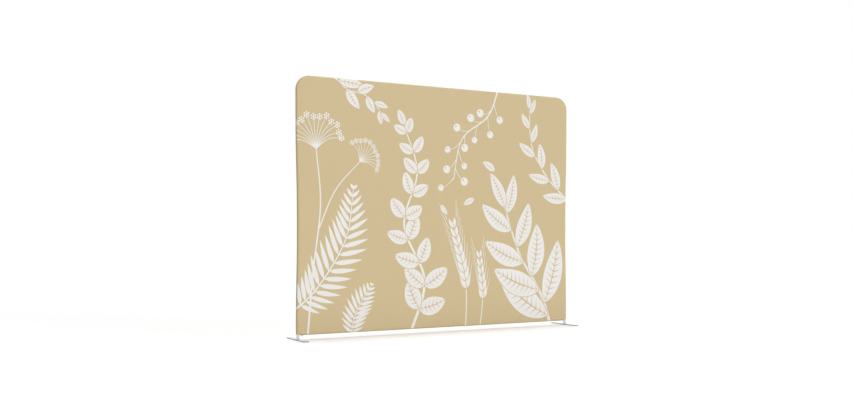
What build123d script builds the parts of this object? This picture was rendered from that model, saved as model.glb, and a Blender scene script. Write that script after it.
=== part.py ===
from build123d import *
import math
import os

os.makedirs("parts", exist_ok=True)

# A free-standing fabric wall: a tube frame inside a zipped stretch cover, on two flat feet.
# The panel stands in the XZ plane with its printed front towards -Y. Z = 0 is the floor.

# Whole wall, in millimetres
panel_width = 3000.0  # outside of the cloth, side to side
panel_height = 2300.0  # outside of the cloth, hem to top
hem_height = 44.0  # floor to the zip tapes under the hem
corner_radius = 130.0  # outside of the cloth at the top corners
side_bow = 11.0  # how far the tight cloth bends each upright inwards at mid-height

# Cloth cover
cloth_thickness = 0.6
cloth_gap = 0.3  # from the cloth to the tubes inside it
hem_slope = 45.0  # angle, in degrees, at which the cloth leaves the rail for the zip
hem_band = 3.5  # straight strip of cloth between the rail and the zip tape
hem_end_gap = 1.1  # from the end of the hem to the upright

# Tube frame
tube_diameter = 30.0
tube_wall = 1.5
elbow_reach = 300.0  # from the side of the wall to the elbow's end on the top
elbow_drop = 300.0  # from the top of the wall to the elbow's end on the side
joint_straight = 75.0  # straight run that an upright keeps on each side of a joint
spigot_length = 60.0  # welded rail spigot, from the upright's face
rail_end_gap = 0.3  # from the rail's end to the upright's face
slide_gap = 0.1  # radial, between a tube and the sleeve, spigot or tee in it

# Sleeves inside the tube joints, with their rivets
sleeve_length = 120.0
sleeve_wall = 1.5
rivet_offset = 30.0  # from the joint to the rivet
rivet_diameter = 3.2
rivet_gap = 0.05  # radial, between a rivet and its holes
rivet_head_diameter = 6.5
rivet_head_thickness = 0.9
rivet_tail_diameter = 4.8
rivet_tail_thickness = 1.2

# Snap buttons and their leaf springs
button_offset = 30.0  # from the joint to the button
button_diameter = 7.0
button_gap = 0.1  # radial, between a button and its holes
button_proud = 2.0  # height of the button above the tube
button_round = 1.2  # radius of the button's rounded tip
button_flange_diameter = 10.0
button_flange_thickness = 1.0
button_inner_gap = 0.3  # from the flange to the sleeve's wall
spring_thickness = 0.5
spring_width = 6.0
spring_seat_gap = 0.05
spring_toe = 8.0  # how far the spring reaches past the button's centre
spring_heel = 25.0  # how far back from the button's centre its arms meet
spring_bend = 3.0  # radius of its bends

# Tees that hold the centre post
tee_hub_length = 40.0
tee_branch = 32.0  # from the long tube's axis to the shoulder that the post stands on
tee_branch_diameter = 28.0
tee_branch_bore = 18.0
tee_spigot = 50.0
tee_wall = 2.4

# Feet
foot_length = 400.0
foot_width = 55.0
foot_thickness = 5.0
foot_corner = 6.0
foot_edge = 0.8  # chamfer round the top edge
pad_diameter = 20.0
pad_thickness = 2.0
pad_side_inset = 3.0  # from the plate's long edge to the pad's rim
pad_end_inset = 15.0
pin_height = 100.0
pin_gap = 0.08  # radial, between the foot's pin and the upright turning on it
pin_lead = 2.0  # chamfer at the top of the pin
washer_diameter = 40.0
washer_thickness = 1.0
washer_gap = 0.3  # radial, between the washer and the pin
turn_gap = 0.05  # from the washer to the end of the upright
screw_diameter = 8.0
screw_gap = 0.05  # radial, between the screw and its holes
screw_head_diameter = 16.0
screw_head_height = 4.0
screw_length = 25.0
screw_end_gap = 1.0  # left in the pin's hole beyond the screw
screw_key = 5.0  # across the flats of the hexagon socket
screw_key_depth = 2.5

# Zip under the hem
zip_end_to_post = 32.0  # from the upright's axis to the last tooth
zip_slit = 1.6  # between the two rows of teeth
tooth_row_width = 2.2
tooth_height = 1.6
zip_stop_length = 4.0
slider_length = 14.0
slider_width = 9.6
slider_inner_width = 8.4
slider_plate = 1.2
slider_gap = 0.3
slider_corner = 2.5
slider_rim = 1.3  # thickness of the slider's side rims
slider_neck_length = 4.0
slider_neck_width = 1.0
slider_end_gap = 1.0  # from the slider to the end stop, zip closed
pull_drop = 1.7  # from the slider's face to the pull's pin
pull_pin_diameter = 1.0
pull_pin_gap = 0.06
pull_eye_diameter = 2.6
pull_eye_width = 3.0
pull_length = 11.0  # from the pin to the pull's end
pull_width = 6.0
pull_corner = 1.5
pull_thickness = 1.0
pull_neck = 3.2  # from the pin to where the pull widens
ear_gap = 0.3
ear_thickness = 0.8
ear_length = 3.0
ear_below_pin = 1.0

# Sizes that follow
tube_radius = tube_diameter / 2
tube_bore = tube_radius - tube_wall
sleeve_radius = tube_bore - slide_gap
sleeve_bore = sleeve_radius - sleeve_wall
tee_bore = sleeve_radius - tee_wall
cloth_inside = tube_radius + cloth_gap
cloth_outside = cloth_inside + cloth_thickness

slider_space = slider_plate + 2 * slider_gap
tape_top = tube_radius + slider_space  # depths below the rail's axis
tape_bottom = tape_top + cloth_thickness
teeth_bottom = tape_bottom + tooth_height
slider_low_top = teeth_bottom + slider_gap
slider_bottom = slider_low_top + slider_plate

post_x = panel_width / 2 - cloth_outside
top_z = hem_height + panel_height - cloth_outside
rail_z = hem_height + tape_bottom
bend_radius = corner_radius - cloth_outside
elbow_end_x = panel_width / 2 - elbow_reach
elbow_end_z = hem_height + panel_height - elbow_drop

bow_low = rail_z + joint_straight
bow_high = elbow_end_z - joint_straight
bow_middle = (bow_low + bow_high) / 2
bow_arc = (bow_middle - joint_straight - bow_low) / 2  # height of each arc of the bow
bow_angle = 2 * math.atan(side_bow / 2 / bow_arc)
bow_radius = bow_arc / math.sin(bow_angle)

foot_top = pad_thickness + foot_thickness
upright_foot = foot_top + washer_thickness + turn_gap
rail_joint_x = post_x / 2
rail_end_x = post_x - tube_radius - rail_end_gap
tee_end = tee_hub_length / 2
post_low = rail_z + tee_branch
post_high = top_z - tee_branch
post_middle = (post_low + post_high) / 2
hem_end = post_x - tube_radius - hem_end_gap
zip_end = post_x - zip_end_to_post
slider_x = -(zip_end - slider_end_gap - slider_length / 2)
flange_top = math.sqrt(sleeve_bore**2 - (button_flange_diameter / 2) ** 2) - button_inner_gap
flange_bottom = flange_top - button_flange_thickness

parts = {}
sides = {"left": -1, "right": 1}
upwards = (Align.CENTER, Align.CENTER, Align.MIN)
downwards = (Align.CENTER, Align.CENTER, Align.MAX)


# Routes of the tubes in the panel's plane

def side_inset(z):
    """How far inwards an upright's axis lies at height z: arcs that start and end on upright runs."""
    from_end = min(z - bow_low, bow_high - z)
    if from_end <= 0:
        return 0.0
    if from_end <= bow_arc:
        return bow_radius - math.sqrt(bow_radius**2 - from_end**2)
    to_middle = max(2 * bow_arc - from_end, 0)
    return side_bow - bow_radius + math.sqrt(bow_radius**2 - to_middle**2)


def runs_straight(z):
    """Whether an upright stands straight at height z: below, above and in the middle of the bow."""
    return z < bow_low or z > bow_high or abs(z - bow_middle) < joint_straight


def side_point(side, z):
    """A point on an upright's axis."""
    return (side * (post_x - side_inset(z)), 0, z)


def side_route(side, start, end):
    """An upright's axis from one height to another, as straight runs and arcs."""
    low, high = min(start, end), max(start, end)
    changes = [bow_low + i * bow_arc for i in range(3)] + [bow_high - i * bow_arc for i in (2, 1, 0)]
    heights = [low] + [z for z in changes if low < z < high] + [high]
    if start > end:
        heights.reverse()
    route = []
    for a, b in zip(heights, heights[1:]):
        middle = (a + b) / 2
        points = [side_point(side, z) for z in (a, middle, b)]
        if runs_straight(middle):
            route.append(Line(points[0], points[2]))
        else:
            route.append(ThreePointArc(*points))
    return route


def corner_arc(side):
    """The bend of a top corner, from the side to the top."""
    middle = bend_radius * (1 - math.sqrt(0.5))
    return ThreePointArc(
        (side * post_x, 0, top_z - bend_radius),
        (side * (post_x - middle), 0, top_z - middle),
        (side * (post_x - bend_radius), 0, top_z),
    )


def straight(start, end):
    """A straight route between two points given as (x, z)."""
    return [Line((start[0], 0, start[1]), (end[0], 0, end[1]))]


def follow(route, section):
    """Carry a flat section along a route. The section's x points to the back of the wall."""
    solids = []
    for run in route:
        forwards = run % 0
        face = Plane(origin=run @ 0, x_dir=(0, 1, 0), z_dir=forwards) * section
        if run.edge().geom_type == GeomType.LINE:
            solids.append(extrude(face, amount=run.length))
            continue
        turn = math.copysign(1, forwards.cross(run % 1).Y)
        axis = Axis(run.edge().arc_center, (0, turn, 0))
        solids.append(revolve(face, axis=axis, revolution_arc=forwards.get_angle(run % 1)))
    whole = solids[0]
    for solid in solids[1:]:
        whole += solid
    return whole


def tube(route, outer=tube_radius, bore=tube_bore):
    """A round tube along a route."""
    return follow(route, Circle(outer) - Circle(bore))


# Tube joints. In each joint's frame X runs along the tubes to the one that pulls off, and Z points
# the way the button does, into the wall's hollow.

def joint_frame(x, z, along, button_way):
    return Plane(origin=(x, 0, z), x_dir=along, z_dir=button_way)


def hole(frame, offset, diameter):
    """A drill through the near wall of a tube, at an offset from the joint."""
    drill = Cylinder(diameter / 2, tube_diameter, align=upwards)
    return frame * Pos(offset, 0, 0) * drill


def button_hole(frame):
    return hole(frame, button_offset, button_diameter + 2 * button_gap)


def rivet_hole(frame):
    return hole(frame, -rivet_offset, rivet_diameter + 2 * rivet_gap)


def snap_button(frame):
    """A button with its flange inside the sleeve and its rounded tip above the tube."""
    tip = tube_radius + button_proud
    shank = Pos(0, 0, flange_bottom) * Cylinder(button_diameter / 2, tip - flange_bottom, align=upwards)
    shank = fillet(shank.edges().sort_by(Axis.Z)[-1], button_round)
    flange = Cylinder(button_flange_diameter / 2, button_flange_thickness, align=upwards)
    return frame * Pos(button_offset, 0, 0) * (shank + Pos(0, 0, flange_bottom) * flange)


def button_spring(frame):
    """A bent leaf spring, from the far wall of the sleeve round to the button's flange."""
    upper = flange_bottom - spring_seat_gap - spring_thickness / 2
    wall = math.sqrt(sleeve_bore**2 - (spring_width / 2) ** 2)
    lower = wall - spring_seat_gap - spring_thickness / 2
    line = FilletPolyline(
        (spring_toe, upper),
        (-spring_toe, upper),
        (-spring_heel, -lower),
        (spring_toe, -lower),
        radius=spring_bend,
    )
    strip = extrude(trace(line, line_width=spring_thickness), amount=spring_width / 2, both=True)
    return frame * Pos(button_offset, 0, 0) * Rot(90, 0, 0) * strip


def rivet(frame, bore):
    """A blind rivet through a tube and what is in it, whose bore its tail meets."""
    tail_radius = rivet_tail_diameter / 2
    tail_top = math.sqrt(bore**2 - tail_radius**2) - rivet_gap
    tail_bottom = tail_top - rivet_tail_thickness
    shank_length = tube_radius - tail_bottom
    body = Cylinder(rivet_diameter / 2, shank_length, align=upwards)
    body += Cylinder(tail_radius, rivet_tail_thickness, align=upwards)
    head = Cylinder(rivet_head_diameter / 2, rivet_head_thickness, align=upwards)
    head = fillet(head.edges().sort_by(Axis.Z)[-1], rivet_head_thickness / 2)
    body += Pos(0, 0, shank_length) * head
    return frame * Pos(-rivet_offset, 0, tail_bottom) * body


def sleeve(frame, route):
    """A sleeve along a route through a joint, with its rivet hole and its button hole."""
    return tube(route, sleeve_radius, sleeve_bore) - rivet_hole(frame) - button_hole(frame)


down, up = (0, 0, -1), (0, 0, 1)
frames = {"centre_post": joint_frame(0, post_middle, up, (1, 0, 0))}
sleeve_half = sleeve_length / 2
sleeve_routes = {"centre_post": straight((0, post_middle - sleeve_half), (0, post_middle + sleeve_half))}
base_frames = {}
for name, side in sides.items():
    inwards, outwards = (-side, 0, 0), (side, 0, 0)
    frames[f"top_{name}"] = joint_frame(side * elbow_end_x, top_z, inwards, down)
    sleeve_routes[f"top_{name}"] = straight(
        (side * (elbow_end_x + sleeve_half), top_z), (side * (elbow_end_x - sleeve_half), top_z)
    )
    frames[f"shoulder_{name}"] = joint_frame(side * post_x, elbow_end_z, down, inwards)
    sleeve_routes[f"shoulder_{name}"] = side_route(side, elbow_end_z + sleeve_half, elbow_end_z - sleeve_half)
    frames[f"upright_{name}"] = joint_frame(side * (post_x - side_bow), bow_middle, up, inwards)
    sleeve_routes[f"upright_{name}"] = side_route(side, bow_middle - sleeve_half, bow_middle + sleeve_half)
    frames[f"rail_{name}"] = joint_frame(side * rail_joint_x, rail_z, outwards, up)
    sleeve_routes[f"rail_{name}"] = straight(
        (side * (rail_joint_x - sleeve_half), rail_z), (side * (rail_joint_x + sleeve_half), rail_z)
    )
    base_frames[f"base_{name}"] = joint_frame(side * (post_x - tube_radius), rail_z, inwards, up)

for name, frame in frames.items():
    parts[f"sleeve_{name}"] = sleeve(frame, sleeve_routes[name])
for name, frame in {**frames, **base_frames}.items():
    parts[f"button_{name}"] = snap_button(frame)

# The tees are riveted to the left-hand tubes, and the right-hand ones push on.
tee_frames = {
    "top": joint_frame(-tee_end, top_z, (1, 0, 0), down),
    "bottom": joint_frame(-tee_end, rail_z, (1, 0, 0), up),
}
rivets = [rivet(frame, sleeve_bore) for frame in frames.values()]
rivets += [rivet(frame, tee_bore) for frame in tee_frames.values()]
parts["rivets"] = Compound(children=[solid for each in rivets for solid in each.solids()])
springs = [button_spring(frame) for frame in [*frames.values(), *base_frames.values()]]
parts["button_springs"] = Compound(children=[solid for each in springs for solid in each.solids()])


# Tubes

def upright_lower(name, side):
    """The lower upright with the spigot for the rail welded to it."""
    spigot_end = post_x - tube_radius - spigot_length
    body = tube(side_route(side, upright_foot, bow_middle))
    spigot = tube(straight((side * post_x, rail_z), (side * spigot_end, rail_z)), sleeve_radius, sleeve_bore)
    weld_depth = Cylinder(tube_radius - tube_wall / 2, tube_diameter)
    spigot -= Pos(side * post_x, 0, rail_z) * weld_depth
    body += spigot
    return body - rivet_hole(frames[f"upright_{name}"]) - button_hole(base_frames[f"base_{name}"])


for name, side in sides.items():
    shoulder, top = frames[f"shoulder_{name}"], frames[f"top_{name}"]
    middle, rail = frames[f"upright_{name}"], frames[f"rail_{name}"]

    elbow_route = side_route(side, elbow_end_z, top_z - bend_radius) + [corner_arc(side)]
    elbow_route += straight((side * (post_x - bend_radius), top_z), (side * elbow_end_x, top_z))
    parts[f"elbow_{name}"] = tube(elbow_route) - rivet_hole(shoulder) - rivet_hole(top)

    upper = tube(side_route(side, bow_middle, elbow_end_z))
    parts[f"upright_{name}_upper"] = upper - button_hole(shoulder) - button_hole(middle)
    parts[f"upright_{name}_lower"] = upright_lower(name, side)

    top_tube = tube(straight((side * tee_end, top_z), (side * elbow_end_x, top_z))) - button_hole(top)
    rail_inner = tube(straight((side * tee_end, rail_z), (side * rail_joint_x, rail_z))) - rivet_hole(rail)
    if name == "left":
        top_tube -= rivet_hole(tee_frames["top"])
        rail_inner -= rivet_hole(tee_frames["bottom"])
    parts[f"top_tube_{name}"] = top_tube
    parts[f"rail_{name}_inner"] = rail_inner
    outer = tube(straight((side * rail_joint_x, rail_z), (side * rail_end_x, rail_z)))
    parts[f"rail_{name}_outer"] = outer - button_hole(rail) - button_hole(base_frames[f"base_{name}"])

post_frame = frames["centre_post"]
parts["centre_post_lower"] = tube(straight((0, post_low), (0, post_middle))) - rivet_hole(post_frame)
parts["centre_post_upper"] = tube(straight((0, post_middle), (0, post_high))) - button_hole(post_frame)


def centre_tee(z, way, frame):
    """A tee with two level spigots and one towards the post, bored through."""
    reach = tee_end + tee_spigot
    branch_end = z + way * tee_branch
    spigot_end = z + way * (tee_branch + tee_spigot)
    body = follow(straight((-tee_end, z), (tee_end, z)), Circle(tube_radius))
    body += follow(straight((-reach, z), (reach, z)), Circle(sleeve_radius))
    body += follow(straight((0, z), (0, branch_end)), Circle(tee_branch_diameter / 2))
    body += follow(straight((0, z), (0, spigot_end)), Circle(sleeve_radius))
    body -= follow(straight((-reach, z), (reach, z)), Circle(tee_bore))
    body -= follow(straight((0, z), (0, spigot_end)), Circle(tee_branch_bore / 2))
    return body - rivet_hole(frame)


parts["centre_tee_top"] = centre_tee(top_z, -1, tee_frames["top"])
parts["centre_tee_bottom"] = centre_tee(rail_z, 1, tee_frames["bottom"])


# Cloth cover, in a front and a back half that meet round the edge. Hem shapes are given as
# (y, z) measured from the rail's axis.

slope = math.radians(hem_slope)


def hem_point(radius, along):
    """A point on the straight strip that leaves the rail, a distance along it."""
    y = -radius * math.sin(slope) + along * math.cos(slope)
    z = -radius * math.cos(slope) - along * math.sin(slope)
    return (y, z)


def bend_at(radius, depth):
    """Where that strip reaches a depth below the rail's axis."""
    return hem_point(radius, (depth - radius * math.cos(slope)) / math.sin(slope))


def arc_round_rail(radius):
    """From the front of the rail, round to where the cloth leaves it."""
    halfway = (math.pi / 2 + slope) / 2
    middle = (-radius * math.sin(halfway), -radius * math.cos(halfway))
    return ThreePointArc((-radius, 0), middle, hem_point(radius, 0))


def along_hem(face, end):
    """A section of the hem or zip, drawn from one end of its length to the other."""
    return Pos(-end, 0, rail_z) * extrude(Plane.YZ * face, amount=2 * end)


def cover_half():
    """The front half: flat cloth, its turn round the outer tubes, and the hem under the rail."""
    edge_route = side_route(-1, hem_height, top_z - bend_radius) + [corner_arc(-1)]
    edge_route += straight((bend_radius - post_x, top_z), (post_x - bend_radius, top_z))
    right_arc = corner_arc(1)
    edge_route.append(ThreePointArc(right_arc @ 1, right_arc @ 0.5, right_arc @ 0))
    edge_route += side_route(1, top_z - bend_radius, hem_height)

    outline = make_face(Curve() + edge_route + straight((post_x, hem_height), (-post_x, hem_height)))
    flat = Pos(0, -cloth_outside, 0) * extrude(outline, amount=cloth_thickness, dir=(0, 1, 0))
    below_rail = Box(2 * hem_end, 2 * tube_diameter, 2 * tape_bottom, align=downwards)
    flat -= Pos(0, 0, rail_z) * below_rail

    quarter = Circle(cloth_outside) - Circle(cloth_inside)
    quarter &= Pos(-cloth_outside / 2, cloth_outside / 2) * Rectangle(cloth_outside, cloth_outside)
    edge = follow(edge_route, quarter)

    hem_edges = [
        arc_round_rail(cloth_outside),
        Line(hem_point(cloth_outside, 0), hem_point(cloth_outside, hem_band)),
        Line(hem_point(cloth_outside, hem_band), hem_point(cloth_inside, hem_band)),
        Line(hem_point(cloth_inside, hem_band), hem_point(cloth_inside, 0)),
        arc_round_rail(cloth_inside),
        Line((-cloth_inside, 0), (-cloth_outside, 0)),
    ]
    hem = along_hem(make_face(Curve() + hem_edges), hem_end)
    return flat + edge + hem


def zip_tape():
    """The front tape, from the hem down to the zip and along it to the slit."""
    face = Polygon(
        hem_point(cloth_inside, hem_band),
        hem_point(cloth_outside, hem_band),
        bend_at(cloth_outside, tape_bottom),
        (-zip_slit / 2, -tape_bottom),
        (-zip_slit / 2, -tape_top),
        bend_at(cloth_inside, tape_top),
        align=None,
    )
    return along_hem(face, hem_end)


def zip_teeth():
    """The front row of teeth, as one ridge under its tape."""
    outer = -zip_slit / 2 - tooth_row_width
    row = Rectangle(tooth_row_width, tooth_height, align=(Align.MIN, Align.MIN))
    return along_hem(Pos(outer, -teeth_bottom) * row, zip_end)


def to_back(solid):
    return mirror(solid, about=Plane.XZ)


parts["cover_front"] = cover_half()
parts["cover_back"] = to_back(parts["cover_front"])
parts["zip_tape_front"] = zip_tape()
parts["zip_tape_back"] = to_back(parts["zip_tape_front"])
parts["zip_teeth_front"] = zip_teeth()
parts["zip_teeth_back"] = to_back(parts["zip_teeth_front"])

teeth_width = zip_slit + 2 * tooth_row_width
stop = Box(zip_stop_length, teeth_width, tooth_height, align=(Align.MIN, Align.CENTER, Align.MAX))
stop = Pos(zip_end, 0, rail_z - tape_bottom) * stop
parts["zip_stops"] = Compound(children=[*stop.solids(), *mirror(stop, about=Plane.YZ).solids()])


def slider():
    """Two plates joined by a neck through the slit, with rims beside the teeth and ears for the pull."""
    inner_outline = RectangleRounded(slider_length, slider_inner_width, slider_corner)
    body = Pos(0, 0, slider_gap - tape_top) * extrude(inner_outline, amount=slider_plate)

    low_outline = RectangleRounded(slider_length, slider_width, slider_corner)
    low_height = slider_bottom - tape_bottom - slider_gap
    low = Pos(0, 0, -slider_bottom) * extrude(low_outline, amount=low_height)
    channel = Box(2 * slider_length, slider_width - 2 * slider_rim, low_height, align=upwards)
    body += low - Pos(0, 0, -slider_low_top) * channel

    neck_height = slider_bottom - tube_radius - slider_gap
    neck = Box(slider_neck_length, slider_neck_width, neck_height, align=upwards)
    body += Pos((slider_neck_length - slider_length) / 2, 0, -slider_bottom) * neck

    ear_y = pull_eye_width / 2 + ear_gap + ear_thickness / 2
    ear = Box(ear_length, ear_thickness, pull_drop + ear_below_pin, align=downwards)
    for way in (-1, 1):
        body += Pos(0, way * ear_y, -slider_bottom) * ear
    pin = Rot(90, 0, 0) * Cylinder(pull_pin_diameter / 2, 2 * ear_y)
    body += Pos(0, 0, -slider_bottom - pull_drop) * pin
    return Pos(slider_x, 0, rail_z) * body


def pull():
    """A small flat tab hanging from its eye."""
    eye = Rot(90, 0, 0) * Cylinder(pull_eye_diameter / 2, pull_eye_width)
    neck = Box(pull_thickness, pull_eye_width, pull_neck, align=downwards)
    tab_outline = RectangleRounded(pull_width, pull_length - pull_neck, pull_corner)
    tab = extrude(Plane.YZ * tab_outline, amount=pull_thickness / 2, both=True)
    tab = Pos(0, 0, -(pull_length + pull_neck) / 2) * tab
    pin_hole = Rot(90, 0, 0) * Cylinder(pull_pin_diameter / 2 + pull_pin_gap, pull_eye_width * 2)
    return Pos(slider_x, 0, rail_z - slider_bottom - pull_drop) * (eye + neck + tab - pin_hole)


parts["zip_slider"] = slider()
parts["zip_pull"] = pull()


# Feet, each set across the panel and centred under its upright

def foot_plate():
    outline = RectangleRounded(foot_width, foot_length, foot_corner)
    plate = Pos(0, 0, pad_thickness) * extrude(outline, amount=foot_thickness)
    plate = chamfer(plate.faces().sort_by(Axis.Z)[-1].edges(), foot_edge)
    hole_radius = screw_diameter / 2 + screw_gap
    head = Cone(screw_head_diameter / 2 + screw_gap, hole_radius, screw_head_height, align=upwards)
    return plate - Pos(0, 0, pad_thickness) * head - Cylinder(hole_radius, 2 * foot_top)


def foot_pin():
    body = Pos(0, 0, foot_top) * Cylinder(tube_bore - pin_gap, pin_height, align=upwards)
    body = chamfer(body.edges().sort_by(Axis.Z)[-1], pin_lead)
    hole_depth = pad_thickness + screw_length + screw_end_gap
    return body - Cylinder(screw_diameter / 2 + screw_gap, hole_depth, align=upwards)


def foot_screw():
    head = Cone(screw_head_diameter / 2, screw_diameter / 2, screw_head_height, align=upwards)
    body = head + Cylinder(screw_diameter / 2, screw_length, align=upwards)
    socket = extrude(RegularPolygon(screw_key / 2, 6, major_radius=False), amount=screw_key_depth)
    return Pos(0, 0, pad_thickness) * (body - socket)


def foot_washer():
    ring = Circle(washer_diameter / 2) - Circle(tube_bore - pin_gap + washer_gap)
    return Pos(0, 0, foot_top) * extrude(ring, amount=washer_thickness)


def foot_pads():
    pad = Cylinder(pad_diameter / 2, pad_thickness, align=upwards)
    x = foot_width / 2 - pad_side_inset - pad_diameter / 2
    y = foot_length / 2 - pad_end_inset - pad_diameter / 2
    return [Pos(i * x, j * y, 0) * pad for i in (-1, 1) for j in (-1, 1)]


for name, side in sides.items():
    under_upright = Pos(side * post_x, 0, 0)
    parts[f"foot_plate_{name}"] = under_upright * foot_plate()
    parts[f"foot_pin_{name}"] = under_upright * foot_pin()
    parts[f"foot_screw_{name}"] = under_upright * foot_screw()
    parts[f"foot_washer_{name}"] = under_upright * foot_washer()
    pads = [under_upright * pad for pad in foot_pads()]
    parts[f"foot_pads_{name}"] = Compound(children=[solid for pad in pads for solid in pad.solids()])

for name, shape in parts.items():
    export_step(shape, f"parts/{name}.step")
print(len(parts), "nodes")
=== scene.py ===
import math
import random

import bmesh
import bpy
from mathutils import Matrix, Vector
from mathutils.geometry import delaunay_2d_cdt


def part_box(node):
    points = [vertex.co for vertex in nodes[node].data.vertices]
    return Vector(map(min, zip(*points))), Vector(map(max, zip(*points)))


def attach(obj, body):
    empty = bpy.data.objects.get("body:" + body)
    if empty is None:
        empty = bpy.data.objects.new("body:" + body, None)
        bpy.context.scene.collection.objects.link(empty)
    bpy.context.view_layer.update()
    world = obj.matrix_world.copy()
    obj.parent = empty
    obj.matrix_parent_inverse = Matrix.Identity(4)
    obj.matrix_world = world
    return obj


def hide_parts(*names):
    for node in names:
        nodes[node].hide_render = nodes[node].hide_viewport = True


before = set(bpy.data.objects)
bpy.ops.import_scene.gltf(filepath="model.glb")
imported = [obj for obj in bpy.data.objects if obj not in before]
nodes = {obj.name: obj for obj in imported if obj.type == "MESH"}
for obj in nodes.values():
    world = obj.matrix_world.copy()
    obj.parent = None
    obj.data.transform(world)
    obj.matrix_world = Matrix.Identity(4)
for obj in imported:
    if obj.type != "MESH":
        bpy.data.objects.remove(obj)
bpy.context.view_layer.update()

# A free-standing fabric wall: a printed stretch cover zipped over a tube frame, on two flat feet.
# The front faces -Y, the floor is at Z = 0, and everything is in metres.

print("frame loaded:", len(nodes), "nodes")


# Camera, light and floor

view = {
    "place": (-4.712, -7.9125, 0.941),
    "heading": (0.4984, 0.8671),  # level direction in which the camera looks
    "tiltDown": 0.88,  # degrees
    "lens": 40.4,
    "shiftY": 0.051,
}

light = {
    "worldStrength": 0.34,
    "keyFrom": (0.62, -0.74, 0.05),  # from the front, right and low
    "keyStrength": 2.5,
    "keySoftness": 22,  # degrees across
    "topFrom": (0.02, 0.085, 1),  # from overhead, a little behind
    "topStrength": 1.68,
    "topSoftness": 22,
    "floorColour": 0.86,
    "floorGlow": 0.24,  # seen by the camera and in metal alone, so that the open floor is white
    "floorSize": 400,
}


def aim(thing, target):  # turns a lamp or camera to face a point
    toTarget = Vector(target) - Vector(thing.location)
    thing.rotation_euler = toTarget.to_track_quat("-Z", "Y").to_euler()


def makeCamera():
    camera = bpy.data.objects.new("camera", bpy.data.cameras.new("camera"))
    bpy.context.scene.collection.objects.link(camera)
    camera.location = view["place"]
    drop = math.tan(math.radians(view["tiltDown"])) * math.hypot(*view["heading"])
    aim(camera, Vector(view["place"]) + Vector((*view["heading"], -drop)))
    camera.data.sensor_width = 36
    camera.data.lens = view["lens"]
    camera.data.shift_y = view["shiftY"]
    bpy.context.scene.camera = camera


def sunLamp(name, comesFrom, strength, softness):
    lamp = bpy.data.lights.new(name, "SUN")
    lamp.energy = strength
    lamp.angle = math.radians(softness)
    holder = bpy.data.objects.new(name, lamp)
    bpy.context.scene.collection.objects.link(holder)
    holder.location = comesFrom
    holder.visible_glossy = False  # metal mirrors the white room and not the lamps
    aim(holder, (0, 0, 0))


class Wire:  # a shader socket that can take part in sums
    def __init__(self, finish, socket):
        self.finish, self.socket = finish, socket

    def maths(self, operation, *values):
        return self.finish.node("ShaderNodeMath", {"operation": operation}, dict(enumerate(values)))

    def __add__(self, other):
        return self.maths("ADD", self, other)

    def __radd__(self, other):
        return self.maths("ADD", other, self)

    def __sub__(self, other):
        return self.maths("SUBTRACT", self, other)

    def __rsub__(self, other):
        return self.maths("SUBTRACT", other, self)

    def __mul__(self, other):
        return self.maths("MULTIPLY", self, other)

    def __rmul__(self, other):
        return self.maths("MULTIPLY", other, self)

    def __abs__(self):
        return self.maths("ABSOLUTE", self)

    def __lt__(self, other):
        return self.maths("LESS_THAN", self, other)

    def most(self, other):
        return self.maths("MAXIMUM", self, other)

    def fraction(self):
        return self.maths("FRACT", self)

    def sine(self):
        return self.maths("SINE", self)


class Finish:  # a material and its nodes
    def __init__(self, name, **sockets):
        self.material = bpy.data.materials.new(name)
        self.material.use_nodes = True
        self.tree = self.material.node_tree
        self.shader = self.tree.nodes["Principled BSDF"]
        for socket, value in sockets.items():
            self.shader.inputs[socket.replace("_", " ")].default_value = value

    def node(self, kind, settings=None, sockets=None, out=0):
        made = self.tree.nodes.new(kind)
        for name, value in (settings or {}).items():
            setattr(made, name, value)
        for name, value in (sockets or {}).items():
            if isinstance(value, Wire):
                self.tree.links.new(value.socket, made.inputs[name])
                continue
            made.inputs[name].default_value = value
        return Wire(self, made.outputs[out])

    def feed(self, name, wire):
        self.tree.links.new(wire.socket, self.shader.inputs[name])

    def place(self, scale=(1, 1, 1)):  # object coordinates, scaled
        where = self.node("ShaderNodeTexCoord", out="Object")
        return self.node("ShaderNodeMapping", {}, {"Vector": where, "Scale": scale})

    def split(self, vector):
        parts = self.node("ShaderNodeSeparateXYZ", {}, {"Vector": vector}).socket.node.outputs
        return [Wire(self, part) for part in parts]

    def noise(self, vector, scale, detail=2.0, roughness=0.5):
        return self.node("ShaderNodeTexNoise", {}, {
            "Vector": vector, "Scale": scale, "Detail": detail, "Roughness": roughness})

    def mix(self, share, a, b):  # of two colours
        return self.node("ShaderNodeMix", {"data_type": "RGBA"}, {0: share, 6: a, 7: b}, out=2)

    def bump(self, height, distance, strength=1.0):
        self.feed("Normal", self.node("ShaderNodeBump", {}, {
            "Height": height, "Distance": distance, "Strength": strength}))


def colour(red, green, blue):  # from the 0 to 255 of a colour picker
    levels = [value / 255 for value in (red, green, blue)]
    return (*[v / 12.92 if v <= 0.04045 else ((v + 0.055) / 1.055) ** 2.4 for v in levels], 1)


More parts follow.
